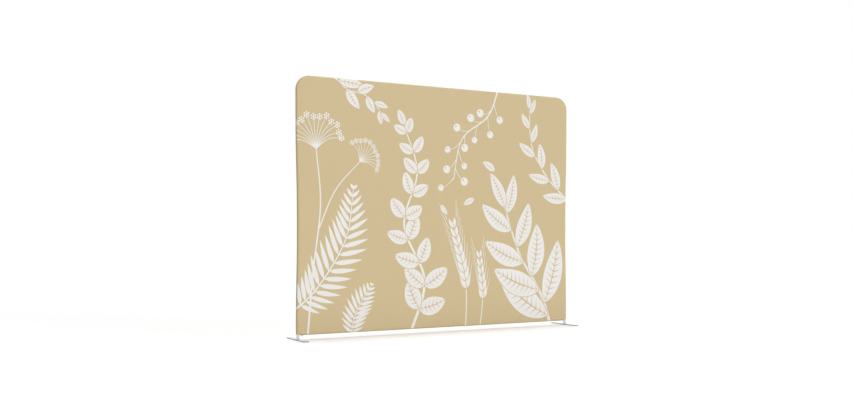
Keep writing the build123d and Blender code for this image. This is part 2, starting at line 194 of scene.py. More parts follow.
def makeStage():
    scene = bpy.context.scene
    scene.view_settings.view_transform = "Standard"
    world = bpy.data.worlds.new("studio")
    scene.world = world
    world.use_nodes = True
    tree = world.node_tree
    background = tree.nodes["Background"]
    background.inputs["Color"].default_value = (1, 1, 1, 1)
    rays = tree.nodes.new("ShaderNodeLightPath")
    seen = rays.outputs["Is Camera Ray"]
    for name in ("Is Glossy Ray", "Is Transmission Ray"):
        either = tree.nodes.new("ShaderNodeMath")
        either.operation = "MAXIMUM"
        tree.links.new(seen, either.inputs[0])
        tree.links.new(rays.outputs[name], either.inputs[1])
        seen = either.outputs[0]
    strength = tree.nodes.new("ShaderNodeMapRange")
    strength.inputs["To Min"].default_value = light["worldStrength"]
    strength.inputs["To Max"].default_value = 1
    tree.links.new(seen, strength.inputs["Value"])
    tree.links.new(strength.outputs[0], background.inputs["Strength"])

    bpy.ops.object.select_all(action="DESELECT")
    bpy.ops.mesh.primitive_plane_add(size=light["floorSize"])
    floor = bpy.context.object
    floor.name = "floor"
    level = light["floorColour"]
    paper = Finish("floor_paper", Base_Color=(level, level, level, 1), Roughness=1.0)
    paper.shader.inputs["Specular IOR Level"].default_value = 0
    paper.shader.inputs["Emission Color"].default_value = (1, 1, 1, 1)
    seen = paper.node("ShaderNodeLightPath", out="Is Camera Ray")
    mirrored = paper.node("ShaderNodeLightPath", out="Is Glossy Ray")
    paper.feed("Emission Strength", seen.most(mirrored) * light["floorGlow"])
    floor.data.materials.append(paper.material)

    sunLamp("key", light["keyFrom"], light["keyStrength"], light["keySoftness"])
    sunLamp("top", light["topFrom"], light["topStrength"], light["topSoftness"])


makeCamera()
makeStage()
print("camera, floor and light ready")


# Where the cloth runs: the outer tubes' line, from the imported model

cloth = {
    "cornerRadius": 0.130,  # outside of the cloth at the top corners
    "sideBow": 0.011,  # how far the cloth bends each upright in at mid-height
    "elbowDrop": 0.300,  # from the top to the elbow's end
    "jointStraight": 0.075,  # straight run of the upright beside each joint
    "hemSlope": math.radians(45),
    "hemBand": 0.0035,  # straight run from the rail's cloth to the hem's fold
    "edgeRows": 12,  # rows of faces round the edge tube
    "hemRows": 6,
    "rowStep": 0.025,
    "cornerStep": math.radians(5),
    "gridStep": 0.06,
    "creaseArea": 0.16,  # finer faces this far from each bottom corner
    "creaseStep": 0.012,
    "clearOfRows": (0.008, 0.004),  # from the grid to the rows beside the upright and above the rail
    "seamWidth": 0.0016,  # the two halves dip together at the seam
    "seamDepth": 0.0006,
    "foldThickness": 0.0006,  # hems are turned in and sewn
    "foldLength": 0.004,
    "flapRise": 0.008,  # the flaps round the posts end higher than the zip
}

coverLow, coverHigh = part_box("cover_front")
railLow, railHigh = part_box("rail_left_inner")
clothRadius = -coverLow.y
tubeRadius = (railHigh.z - railLow.z) / 2
railZ = (railHigh.z + railLow.z) / 2
postX = coverHigh.x - clothRadius
topZ = coverHigh.z - clothRadius
hemZ = coverLow.z
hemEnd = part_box("zip_tape_front")[1].x
flapX = postX - tubeRadius  # the flaps round the posts start here
flapZ = hemZ + cloth["flapRise"]
wrapLength = clothRadius * math.pi / 2
bendRadius = cloth["cornerRadius"] - clothRadius
bendX, bendZ = postX - bendRadius, topZ - bendRadius
hemBottom = railZ - clothRadius * cloth["hemSlope"] - cloth["hemBand"]  # fold on the flat cut

bowLow = railZ + cloth["jointStraight"]
bowHigh = coverHigh.z - cloth["elbowDrop"] - cloth["jointStraight"]
bowMiddle = (bowLow + bowHigh) / 2
bowArc = (bowMiddle - cloth["jointStraight"] - bowLow) / 2
bowRadius = bowArc / math.sin(2 * math.atan(cloth["sideBow"] / 2 / bowArc))


def sideInset(z):  # how far in an upright's axis lies at a height
    fromEnd = min(z - bowLow, bowHigh - z)
    if fromEnd <= 0:
        return 0.0
    if fromEnd <= bowArc:
        return bowRadius - math.sqrt(bowRadius**2 - fromEnd**2)
    toMiddle = max(2 * bowArc - fromEnd, 0)
    return cloth["sideBow"] - bowRadius + math.sqrt(bowRadius**2 - toMiddle**2)


def pastEdge(x, z):  # how far a point of the flat cut lies past the tube's axis, and which way out is
    side = -1 if x < 0 else 1
    if z > bendZ and abs(x) > bendX:
        out = Vector((abs(x) - bendX, z - bendZ))
        return out.length - bendRadius, Vector((side * out.x, out.y)).normalized()
    if z > bendZ:
        return z - topZ, Vector((0, 1))
    return abs(x) - postX + sideInset(z), Vector((side, 0))


pull = {
    "hemWaves": (  # height, length, start
        (0.00022, 0.083, 0.0), (0.00016, 0.047, 1.3), (0.00010, 0.151, 0.4),
    ),
    "hemFade": 0.035,
    "ringIn": 0.046,  # the ring-shaped crease beside each bottom corner
    "ringUp": 0.022,
    "ringRadius": 0.028,
    "ringWidth": 0.006,
    "ringHeight": 0.0013,
    "fanFolds": 7,  # folds that run out from each bottom corner
    "fanHeight": 0.00035,
    "fanReach": 0.11,
    "tubeFade": 0.02,  # the cloth lies tight on the tubes
}


def relief(x, z):  # how far the pulled cloth stands out of flat
    up = z - railZ
    fade = math.exp(-max(up, 0) / pull["hemFade"])
    waves = sum(a * math.sin(x * math.tau / length + start) for a, length, start in pull["hemWaves"])
    inwards = postX - abs(x)
    ring = math.hypot(inwards - pull["ringIn"], up - pull["ringUp"]) - pull["ringRadius"]
    height = pull["ringHeight"] * math.exp(-(ring / pull["ringWidth"]) ** 2)
    reach = math.hypot(inwards, up) / pull["fanReach"]
    folds = math.sin(math.atan2(up, inwards) * pull["fanFolds"])
    fan = pull["fanHeight"] * folds * reach * math.exp(1 - reach)
    loose = min(max(inwards / pull["tubeFade"], 0), 1) * min(max(up / pull["tubeFade"] + 1, 0), 1)
    return (waves * fade + height + max(fan, -pull["fanHeight"]) * math.exp(-reach)) * loose


def turnedIn(past):  # how far past the fold and how deep a point ends up, once the hem is turned in
    half = cloth["foldThickness"] / 2
    if past <= 0:
        return past, 0
    if past < half * math.pi:
        return half * math.sin(past / half), half * (1 - math.cos(past / half))
    return half * math.pi - past, 2 * half


def worn(x, z):  # a point of the flat cut, in place on the frame
    underRail = z < railZ and abs(x) < (hemEnd + flapX) / 2
    if underRail:
        on, deep = turnedIn(hemBottom - z)
        radius = clothRadius - deep
        turn = min((railZ - z) / clothRadius, cloth["hemSlope"])
        strip = max(railZ - hemBottom + on - turn * clothRadius, 0)
        y = strip * math.sin(turn) - radius * math.cos(turn)
        return Vector((x, y, railZ - radius * math.sin(turn) - strip * math.cos(turn)))
    on, deep = turnedIn(flapZ - z)
    z = flapZ - on
    past, out = pastEdge(x, z)
    if past <= 0:
        return Vector((x, deep - clothRadius - relief(x, z), z))
    turn = past / clothRadius
    toSeam = max(wrapLength - past, 0) / cloth["seamWidth"]
    reach = clothRadius - deep - cloth["seamDepth"] * max(1 - toSeam, 0) ** 2
    shift = reach * math.sin(turn) - past
    return Vector((x + out.x * shift, -reach * math.cos(turn), z + out.y * shift))


# The print: shapes on the flat cut, each drawn over the ones before it

printing = {
    "ground": colour(208, 189, 149),
    "ink": colour(236, 234, 231),
    "ribWidth": 0.055,  # of half the leaf's width
    "veinSlant": 0.9,
    "veinWidth": 0.13,
    "veinReach": 0.86,  # veins stop short of the leaf's edge
    "gap": 0.006,  # ground left round a leaf that lies over another shape
}
plainInk, bareGround = (0.0, 2.0), (0.0, 3.0)  # second value: under 1 veined, 2 plain, 3 bare


class Print:
    def __init__(self, seed):
        self.shapes = []
        self.random = random.Random(seed)

    def vary(self, value, share=0.08):
        return value * self.random.uniform(1 - share, 1 + share)

    def add(self, outline, ink=plainInk, lines=()):
        self.shapes.append((outline, ink, lines))

    def stem(self, route, start, end, steps=9):
        line = smoothLine(route, steps)
        left, right = [], []
        for i, (point, heading) in enumerate(line):
            share = i / (len(line) - 1)
            half = (start + (end - start) * share) / 2
            aside = Vector((-math.sin(heading), math.cos(heading))) * half
            left.append(point + aside)
            right.append(point - aside)
        self.add(right + left[::-1])
        return line

    def leaf(self, base, heading, length, width, bend=0.0, veins=8, point=0.85, power=0.85, steps=9,
             gap=True):
        bow = Arc(base, heading, length, bend)

        def half(t):
            return width / 2 * max(math.sin(math.pi * t**point), 0) ** power

        def outline(margin):
            extra = margin / length
            near, far = [], []
            for i in range(steps + 1):
                t = i / steps
                place = t * (1 + 2 * extra) - extra
                if half(t) + margin < 1e-6:
                    near.append(bow.at(place, 0))
                    continue
                near.append(bow.at(place, -half(t) - margin))
                far.append(bow.at(place, half(t) + margin))
            return near + far[::-1]

        if gap:
            self.add(outline(printing["gap"]), bareGround)
        if not veins:
            self.add(outline(0))
            return

        def ink(x, z):
            t, aside = bow.find(x, z)
            t = min(max(t, 0), 1)
            return (t * veins, max(min(aside / max(half(t), 1e-5), 1), -1))

        self.add(outline(0), ink, [[bow.at(i / steps, 0) for i in range(steps + 1)]])

    def dot(self, centre, radius, corners=10, ink=plainInk):
        self.add([
            centre + Vector((math.cos(i * math.tau / corners), math.sin(i * math.tau / corners))) * radius
            for i in range(corners)
        ], ink)


class Arc:  # a leaf's middle line, of steady curvature
    def __init__(self, base, heading, length, bend):
        self.base, self.heading, self.length = Vector(base), heading, length
        self.curve = (bend if abs(bend) > 1e-3 else 1e-3) / length
        self.centre = self.base + Vector((-math.sin(heading), math.cos(heading))) / self.curve

    def at(self, t, aside):
        turn = self.heading + t * self.length * self.curve
        return self.centre + Vector((math.sin(turn), -math.cos(turn))) * (1 / self.curve - aside)

    def find(self, x, z):
        out = (Vector((x, z)) - self.centre) * math.copysign(1, self.curve)
        turn = math.atan2(out.x, -out.y) - self.heading
        turn = (turn + math.pi) % math.tau - math.pi
        aside = 1 / self.curve - math.copysign(out.length, self.curve)
        return turn / self.curve / self.length, aside


def smoothLine(route, steps):  # points and headings on a smooth curve through the route
    points = [Vector(p) for p in route]
    ends = [2 * points[0] - points[1], *points, 2 * points[-1] - points[-2]]
    line = []
    for a, b, c, d in zip(ends, ends[1:], ends[2:], ends[3:]):
        for i in range(steps):
            t = i / steps
            line.append(0.5 * (2 * b + (c - a) * t + (2 * a - 5 * b + 4 * c - d) * t * t
                               + (3 * b - a - 3 * c + d) * t**3))
    line.append(points[-1])
    found = []
    for i, point in enumerate(line):
        ahead = line[min(i + 1, len(line) - 1)] - line[max(i - 1, 0)]
        found.append((point, math.atan2(ahead.y, ahead.x)))
    return found


def along(line, share):
    place = share * (len(line) - 1)
    i = min(int(place), len(line) - 2)
    (a, turnA), (b, turnB) = line[i], line[i + 1]
    return a.lerp(b, place - i), turnA + (place - i) * (turnB - turnA)


def sprig(page, route, stem, leaves, length, width, spread, bend, first=0.12, shrink=0.5, paired=False,
          **shape):
    line = page.stem(route, *stem)
    for i in range(leaves):
        share = i / (leaves - 1)
        point, heading = along(line, first + (0.96 - first) * share)
        scale = 1 - shrink * share
        for side in ((-1, 1) if paired else ((-1) ** i,)):
            page.leaf(point, heading + side * page.vary(spread, 0.12), page.vary(length) * scale,
                      page.vary(width) * scale, side * -bend, **shape)
    point, heading = line[-1]
    page.leaf(point, heading, length * (1 - shrink), width * (1 - shrink) * 0.9, bend / 2, **shape)


def fern(page, route, stem, leaflets, length, width, spread):
    line = page.stem(route, *stem)
    for i in range(leaflets):
        share = i / (leaflets - 1)
        point, heading = along(line, 0.14 + 0.84 * share)
        scale = math.sin(math.pi * (0.22 + 0.74 * share)) ** 0.8
        for side in (-1, 1):
            page.leaf(point, heading + side * spread * (1 - 0.35 * share), page.vary(length, 0.05) * scale,
                      width * (0.5 + 0.5 * scale), side * -0.12, veins=0, point=0.7, steps=6, gap=False)


def umbel(page, route, stem, rays, reach, fan, dotSize):
    line = page.stem(route, *stem)
    top, heading = line[-1]
    for i in range(rays):
        turn = (i / (rays - 1) - 0.5) * fan
        out = page.vary(reach, 0.06) * (0.86 + 0.14 * math.cos(turn))
        start = Vector((math.cos(heading + turn * 0.8), math.sin(heading + turn * 0.8)))
        end = top + Vector((math.cos(heading + turn), math.sin(heading + turn))) * out
        page.stem([top, top + start * out * 0.55, end], stem[1] * 0.8, stem[1] * 0.5, 4)
        page.dot(end, dotSize * 0.6, 8)
        for j in range(6):
            way = Vector((math.cos(heading + j * math.tau / 6), math.sin(heading + j * math.tau / 6)))
            page.dot(end + way * dotSize * 1.35, page.vary(dotSize * 0.52, 0.15), 7)


def ear(page, route, stem, grains, length, width):
    line = page.stem(route, *stem)
    for i in range(grains):
        share = i / (grains - 1)
        point, heading = along(line, 0.45 + 0.53 * share)
        for side in (-1, 1):
            turn = heading + side * 0.5
            page.leaf(point, turn, length * (1 - 0.35 * share), width * (1 - 0.3 * share), side * -0.4,
                      veins=0, steps=6)
            tip = point + Vector((math.cos(turn), math.sin(turn))) * length * 0.7
            way = Vector((math.cos(heading + side * 0.25), math.sin(heading + side * 0.25)))
            page.stem([tip, tip + way * length * 1.1], width * 0.14, width * 0.06, 3)


def berries(page, route, stem, count, stalk, radius):
    line = page.stem(route, *stem)
    for i in range(count):
        side = (-1) ** i
        point, heading = along(line, 0.2 + 0.78 * i / (count - 1))
        turn = heading + side * page.vary(0.75, 0.2)
        end = point + Vector((math.cos(turn), math.sin(turn))) * page.vary(stalk, 0.2)
        sag = (point + end) / 2 + Vector((0, -0.15 * stalk))
        page.stem([point, sag, end], stem[1] * 0.9, stem[1] * 0.6, 4)
        size = page.vary(radius, 0.15)
        page.dot(end, size + printing["gap"], 14, bareGround)
        page.dot(end, size, 14)
        page.dot(end + Vector((-0.3, 0.35)) * size, size * 0.22, 8, bareGround)


def drawPrint():
    page = Print(11)
    fern(page, [(-1.58, 0.22), (-1.30, 0.46), (-1.02, 0.90), (-0.94, 1.38)], (0.018, 0.006), 17, 0.29, 0.046,
         1.12)
    umbel(page, [(-1.40, -0.02), (-1.34, 0.62), (-1.27, 1.20), (-1.31, 1.70)], (0.018, 0.009), 13, 0.30, 2.5,
          0.017)
    umbel(page, [(-1.29, 0.98), (-1.12, 1.34), (-0.88, 1.60)], (0.012, 0.007), 11, 0.20, 2.4, 0.013)
    sprig(page, [(-1.20, 2.42), (-1.02, 2.26), (-0.80, 2.20), (-0.66, 2.06)], (0.016, 0.007), 6, 0.25, 0.10,
          0.75, 0.3, first=0.2, veins=7)
    sprig(page, [(-0.36, -0.02), (-0.20, 0.50), (-0.42, 1.02), (-0.28, 1.52), (-0.42, 1.96)], (0.030, 0.009),
          9, 0.31, 0.17, 1.0, 0.35, paired=True, veins=7, power=0.7)
    fern(page, [(-0.98, -0.02), (-0.92, 0.22), (-0.76, 0.48)], (0.012, 0.005), 11, 0.17, 0.034, 1.12)
    berries(page, [(0.66, 2.42), (0.52, 2.10), (0.22, 1.86), (0.12, 1.46)], (0.017, 0.007), 12, 0.15, 0.036)
    ear(page, [(0.26, -0.02), (0.26, 0.46), (0.12, 1.02)], (0.013, 0.006), 8, 0.16, 0.050)
    ear(page, [(0.42, -0.02), (0.46, 0.34), (0.42, 0.72)], (0.012, 0.005), 6, 0.13, 0.042)
    sprig(page, [(1.62, 1.22), (1.30, 1.46), (1.06, 1.80), (1.02, 2.20)], (0.020, 0.008), 8, 0.32, 0.115,
          0.7, 0.3, veins=8)
    sprig(page, [(1.30, -0.02), (1.16, 0.34), (0.90, 0.74), (0.72, 1.20)], (0.036, 0.014), 8, 0.70, 0.26,
          0.85, 0.4, shrink=0.45, veins=11, steps=14)
    for x, z, heading, length in ((0.60, 1.56, 2.4, 0.17), (0.36, 1.28, 3.4, 0.14), (-0.02, 1.22, 5.2, 0.12)):
        page.leaf((x, z), heading, length, length * 0.42, 0.4, veins=6)
    return page.shapes


def spaced(start, end, step):  # evenly from start to end
    count = max(round(abs(end - start) / step), 1)
    return [start + (end - start) * i / count for i in range(count + 1)]


def edgeRow(past):  # a line on the flat cut that runs round beside the outer tubes, from foot to foot
    start = (-postX - past, flapZ - cloth["foldLength"])
    half = [start] + [(-postX + sideInset(z) - past, z) for z in spaced(flapZ, bendZ, cloth["rowStep"])]
    radius = bendRadius + past
    for turn in spaced(math.pi, math.pi / 2, cloth["cornerStep"])[1:]:
        half.append((-bendX + radius * math.cos(turn), bendZ + radius * math.sin(turn)))
    half += [(x, topZ + past) for x in spaced(-bendX, 0, cloth["rowStep"])[1:-1]]
    return half + [(0, topZ + past)] + [(-x, z) for x, z in reversed(half)]


class Cut:  # points, lines and outlines that the cloth's faces have to follow
    def __init__(self):
        self.points, self.lines, self.outlines = [], [], []

    def put(self, points):
        start = len(self.points)
        self.points += [Vector(p) for p in points]
        return list(range(start, len(self.points)))

    def line(self, points):
        numbers = self.put(points)
        self.lines += zip(numbers, numbers[1:])

    def outline(self, points):
        turned = sum(a[0] * b[1] - b[0] * a[1] for a, b in zip(points, [*points[1:], points[0]]))
        self.outlines.append(self.put(points if turned > 0 else reversed(points)))


def cutCloth(shapes):
    cut = Cut()
    fold = cloth["foldLength"]
    rim = edgeRow(wrapLength)
    notch = [(flapX, flapZ - fold), (flapX, railZ), (hemEnd, railZ)]
    hemLine = [(x, hemBottom - fold) for x in spaced(hemEnd, -hemEnd, cloth["rowStep"])]
    cut.outline(rim + notch + hemLine + [(-x, z) for x, z in reversed(notch)])
    for share in (0, 0.25, 0.5, 0.75, 1):
        past = share * math.pi / 2 * cloth["foldThickness"]
        cut.line([(x, hemBottom - past) for x in spaced(-hemEnd, hemEnd, cloth["rowStep"])])
        for side in (-1, 1):
            cut.line([(side * flapX, flapZ - past), (side * (postX + wrapLength), flapZ - past)])
    for i in range(cloth["edgeRows"]):
        cut.line(edgeRow(wrapLength * i / cloth["edgeRows"]))
    cut.line(edgeRow(wrapLength - cloth["seamWidth"]))
    cut.line(edgeRow(wrapLength - cloth["seamWidth"] / 2))
    acrossHem = spaced(-hemEnd, hemEnd, cloth["rowStep"])
    for i in range(cloth["hemRows"] + 1):
        z = railZ - clothRadius * cloth["hemSlope"] * i / cloth["hemRows"]
        cut.line([(x, z) for x in acrossHem])
    beside, above = cloth["clearOfRows"]
    area = cloth["creaseArea"]
    for step, low, high, inner in (
        (cloth["gridStep"], railZ, topZ, 0),
        (cloth["creaseStep"], railZ + above, railZ + area, postX - area),
    ):
        for z in spaced(low, high, step):
            for x in spaced(inner, postX - beside, step):
                if pastEdge(x, z)[0] < -step / 4:
                    cut.put([(x, z), (-x, z)])
    for outline, ink, lines in shapes:
        cut.outline(outline)
        for line in lines:
            cut.line(line)
    return cut


def clothHalf(name, shapes):
    cut = cutCloth(shapes)
    points, _, faces, _, _, sources = delaunay_2d_cdt(cut.points, cut.lines, cut.outlines, 1, 1e-6)
    kept = [i for i, source in enumerate(sources) if 0 in source]
    mesh = bpy.data.meshes.new(name)
    mesh.from_pydata([worn(*p) for p in points], [], [faces[i] for i in kept])
    cutMap, inkMap, bakeMap = [], [], []
    span, foot = 2 * (postX + wrapLength), hemZ - cloth["foldLength"]
    for i in kept:
        shape = max(sources[i])  # the last one drawn here
        ink = shapes[shape - 1][1] if shape else bareGround
        for corner in faces[i]:
            x, z = points[corner]
            cutMap += (x, z)
            bakeMap += ((x + span / 2) / span, (z - foot) / (topZ + wrapLength - foot))
            inkMap += ink(x, z) if callable(ink) else ink
    for title, values in (("cut", cutMap), ("ink", inkMap), ("OFBake", bakeMap)):
        mesh.uv_layers.new(name=title).data.foreach_set("uv", values)
    mesh.polygons.foreach_set("use_smooth", [True] * len(mesh.polygons))
    half = bpy.data.objects.new(name, mesh)
    bpy.context.scene.collection.objects.link(half)
    return half


def printedCloth():
    knit = {"column": 0.0011, "course": 0.0009, "depth": 0.00012}
    finish = Finish("printed_cloth", Roughness=0.86, Sheen_Weight=0.12, Sheen_Roughness=0.4)
    finish.shader.inputs["Specular IOR Level"].default_value = 0.25
    u, v, _ = finish.split(finish.node("ShaderNodeUVMap", {"uv_map": "ink"}))
    across = abs(v)
    rib = across < printing["ribWidth"]
    beside = abs((u - across * printing["veinSlant"]).fraction() - 0.5)
    vein = beside < (printing["veinReach"] - across) * printing["veinWidth"]
    inked = (across < 2.5) * (1 - rib.most(vein) * (across < 1.5))  # halfway between the ink codes
    cutPlace = finish.node("ShaderNodeUVMap", {"uv_map": "cut"})
    x, z, _ = finish.split(cutPlace)
    columns = abs((x * (math.pi / knit["column"])).sine())
    courses = abs((z * (math.pi / knit["course"]) + columns * 0.8).sine())
    threads = columns * 0.6 + courses * 0.4
    mottle = finish.noise(cutPlace, 220, 3)
    cloudy = finish.noise(cutPlace, 3, 2)
    paint = finish.mix(inked, printing["ground"], printing["ink"])
    # painted shade: the threads term darkens the knit's grooves between loops; mottle and cloudy are the
    # cloth's own uneven tone
    shade = 0.955 + threads * 0.035 + mottle * 0.03 + cloudy * 0.02
    tone = finish.node("ShaderNodeCombineXYZ", {}, {0: shade, 1: shade, 2: shade})
    dyedAndGrooveShaded = finish.node("ShaderNodeVectorMath", {"operation": "MULTIPLY"}, {0: paint, 1: tone})
    finish.feed("Base Color", dyedAndGrooveShaded)
    finish.feed("Roughness", 0.80 + threads * 0.10)
    finish.bump(threads, knit["depth"], 0.5)
    return finish.material


def makeCover():
    front = clothHalf("cover_front_cloth", drawPrint())
    front.data.materials.append(printedCloth())
    back = bpy.data.objects.new("cover_back_cloth", front.data.copy())
    bpy.context.scene.collection.objects.link(back)
    back.data.transform(Matrix.Rotation(math.pi, 4, "Z"))
    tubes = [name for name in nodes if name.split("_")[0] in ("elbow", "top", "upright", "rail")]
    for half, side in ((front, "front"), (back, "back")):
        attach(half, "wall")
        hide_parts(f"cover_{side}")
        area = sum(face.area for face in half.data.polygons)
        print(half.name, len(half.data.polygons), "faces,", round(area, 3), "square metres")


makeCover()
print("cover made")


# Small work under the hem: zip tapes, teeth and stitches

zipper = {
    "tapeUnderCloth": 0.003,  # how far the tape runs up behind the hem
    "tapeBehind": 0.0008,  # from the cloth's face to the tape's, along the hem
    "tapeThickness": 0.0005,
    "tapeStep": 0.03,  # faces along the tape and across it
    "tapeRow": 0.002,
    "zigzag": 0.0016,  # width of the weave's zigzag
    "twill": 0.0007,
    "toothPitch": 0.0024,
    "toothLength": 0.0013,
    "headLength": 0.0002,
    "headSpread": 1.5,  # the head is longer than the tooth and lower
    "headHeight": 0.75,
    "toothBevel": 0.00022,
}

sewing = {
    "pitch": 0.0034,
    "length": 0.0027,
    "thread": 0.00042,
    "ends": 0.3,  # of the length; the ends past this go down into the cloth
    "endDrop": 0.4,  # of the thread
    "standOut": 0.2,
    "aboveFold": 0.0016,  # from the hem's fold to the stitches
    "aboveFlapFold": 0.0030,
    "fromFlapEdge": 0.001,
}


def alone():  # nothing selected
    if bpy.context.object and bpy.context.object.mode != "OBJECT":
        bpy.ops.object.mode_set(mode="OBJECT")
    bpy.ops.object.select_all(action="DESELECT")


def settle(piece, name):  # the object at the origin, its place in its mesh
    piece.name = name
    piece.data.name = name
    bpy.ops.object.transform_apply(location=True, rotation=True, scale=True)
    return piece


def withModifier(piece, kind, **settings):
    modifier = piece.modifiers.new(kind.lower(), kind)
    for name, value in settings.items():
        setattr(modifier, name, value)
    bpy.context.view_layer.objects.active = piece
    bpy.ops.object.modifier_apply(modifier=modifier.name)


def selectFaces(piece, wanted):  # leaves the piece in edit mode with these faces selected
    bpy.ops.object.mode_set(mode="EDIT")
    bpy.ops.mesh.select_mode(type="FACE")
    bpy.ops.mesh.select_all(action="DESELECT")
    bpy.ops.object.mode_set(mode="OBJECT")
    for face in piece.data.polygons:
        face.select = wanted(face)
    bpy.ops.object.mode_set(mode="EDIT")


def turnedBack(piece, name):  # the same piece for the back of the wall
    twin = bpy.data.objects.new(name, piece.data.copy())
    bpy.context.scene.collection.objects.link(twin)
    twin.data.transform(Matrix.Rotation(math.pi, 4, "Z"))
    return twin


def thickened(piece):
    thicken = piece.modifiers.new("thickness", "SOLIDIFY")
    thicken.thickness = zipper["tapeThickness"]
    thicken.offset = 0


def zipTape():
    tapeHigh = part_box("zip_tape_front")[1]
    slope, depth = cloth["hemSlope"], railZ - hemZ - zipper["tapeThickness"] / 2
    radius = clothRadius - zipper["tapeBehind"]
    first = cloth["hemBand"] - zipper["tapeUnderCloth"]
    bend = (depth - radius * math.cos(slope)) / math.sin(slope)
    down, out = math.sin(slope), math.cos(slope)
    step = zipper["tapeRow"]
    strips = spaced(first, bend, step)
    section = [(strip * out - radius * down, -radius * out - strip * down) for strip in strips]
    section += [(y, -depth) for y in spaced(section[-1][0], tapeHigh.y, step)[1:]]
    tape = bpy.data.meshes.new("zip_tape_front_cloth")
    across = [0]
    for a, b in zip(section, section[1:]):
        across.append(across[-1] + math.dist(a, b))
    stops = spaced(-hemEnd, hemEnd, zipper["tapeStep"])
    points = [(x, y, railZ + z) for x in stops for y, z in section]
    rows = len(section)
    faces = [(i * rows + j, i * rows + j + 1, (i + 1) * rows + j + 1, (i + 1) * rows + j)
             for i in range(len(stops) - 1) for j in range(rows - 1)]
    tape.from_pydata(points, [], [face[::-1] for face in faces])
    layer = tape.uv_layers.new(name="cut")
    for loop in tape.loops:
        i, j = divmod(loop.vertex_index, rows)
        layer.data[loop.index].uv = (stops[i], across[j])
    tape.polygons.foreach_set("use_smooth", [True] * len(tape.polygons))
    piece = bpy.data.objects.new(tape.name, tape)
    bpy.context.scene.collection.objects.link(piece)
    thickened(piece)
    return piece, across[-1]


def tapeWeave():
    finish = Finish("zip_tape_weave", Sheen_Weight=0.1)
    x, across, _ = finish.split(finish.node("ShaderNodeUVMap", {"uv_map": "cut"}))
    zigzag = abs((across * (1 / zipper["zigzag"])).fraction() - 0.5)
    twill = (x * (math.tau / zipper["twill"]) + zigzag * math.tau).sine()
    # painted shade and highlight: darker in the twill's grooves, lighter on its ridges
    finish.feed("Base Color", finish.mix(twill * 0.5 + 0.5, colour(168, 150, 116), colour(190, 172, 136)))
    finish.feed("Roughness", 0.86 + twill * 0.06)
    finish.bump(twill, 0.00012, 0.6)
    return finish.material


def toothRow():
    low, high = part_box("zip_teeth_front")
    alone()
    pitch, length = zipper["toothPitch"], zipper["toothLength"]
    size = (length, high.y - low.y, high.z - low.z)
    place = (low.x + length / 2, (low.y + high.y) / 2, (low.z + high.z) / 2)
    bpy.ops.mesh.primitive_cube_add(size=1, location=place, scale=size)
    row = settle(bpy.context.object, "zip_teeth_front_row")
    selectFaces(row, lambda face: face.normal.y > 0.9)
    bpy.ops.mesh.extrude_region_move(TRANSFORM_OT_translate={"value": (0, zipper["headLength"], 0)})
    bpy.ops.transform.resize(value=(zipper["headSpread"], 1, zipper["headHeight"]))
    bpy.ops.object.mode_set(mode="OBJECT")
    withModifier(row, "BEVEL", width=zipper["toothBevel"], segments=1)
    withModifier(row, "ARRAY", count=int((high.x - low.x) / pitch), use_relative_offset=False,
                 use_constant_offset=True, constant_offset_displace=(pitch, 0, 0))
    bpy.ops.object.shade_smooth_by_angle(angle=math.radians(50))
    return row


def nylon():
    finish = Finish("zip_nylon", Roughness=0.38)
    grain = finish.noise(finish.place(), 900, 2)
    finish.feed("Base Color", finish.mix(grain, colour(150, 132, 100), colour(178, 160, 124)))
    finish.feed("Roughness", 0.30 + grain * 0.2)
    finish.bump(grain, 0.00004, 0.4)
    return finish.material


def oneStitch():
    alone()
    bpy.ops.mesh.primitive_uv_sphere_add(segments=6, ring_count=5, radius=0.5)
    bpy.ops.transform.rotate(value=math.pi / 2, orient_axis="Y", center_override=(0, 0, 0))
    bpy.ops.object.transform_apply(rotation=True)
    bpy.ops.transform.resize(value=(sewing["length"], sewing["thread"], sewing["thread"]))
    stitch = settle(bpy.context.object, "stitch")
    selectFaces(stitch, lambda face: abs(face.center.x) > sewing["length"] * sewing["ends"])
    bpy.ops.transform.translate(value=(0, 0, -sewing["thread"] * sewing["endDrop"]))
    bpy.ops.object.mode_set(mode="OBJECT")
    return stitch


def seamLines():  # where the front half is sewn: rows of needle holes on the flat cut
    pitch = sewing["pitch"]
    row = hemBottom + sewing["aboveFold"]
    lines = [[(x, row) for x in spaced(-hemEnd, hemEnd, pitch)]]
    row = flapZ + sewing["aboveFlapFold"]
    start = flapX + sewing["fromFlapEdge"]
    end = postX + wrapLength - sewing["fromFlapEdge"]
    for side in (-1, 1):
        lines.append([(side * x, row) for x in spaced(start, end, pitch)])
    return lines


def hemStitches():
    stitch = oneStitch()
    sewn = bmesh.new()
    for line in seamLines():
        for a, b in zip(line, line[1:]):
            start, end = worn(*a), worn(*b)
            middle = worn((a[0] + b[0]) / 2, a[1])
            ahead = (end - start).normalized()
            above = worn(a[0], a[1] + sewing["thread"])
            out = ahead.cross(above - start).normalized()
            if out.y > 0:
                out.negate()
            turn = Matrix((ahead, out.cross(ahead), out)).transposed().to_4x4()
            copy = stitch.data.copy()
            copy.transform(Matrix.Translation(middle + out * sewing["thread"] * sewing["standOut"]) @ turn)
            sewn.from_mesh(copy)
            bpy.data.meshes.remove(copy)
    bmesh.ops.recalc_face_normals(sewn, faces=sewn.faces)
    stitches = bpy.data.meshes.new("hem_stitches_front")
    sewn.to_mesh(stitches)
    sewn.free()
    bpy.data.objects.remove(stitch)
    stitches.polygons.foreach_set("use_smooth", [True] * len(stitches.polygons))
    piece = bpy.data.objects.new(stitches.name, stitches)
    bpy.context.scene.collection.objects.link(piece)
    return piece


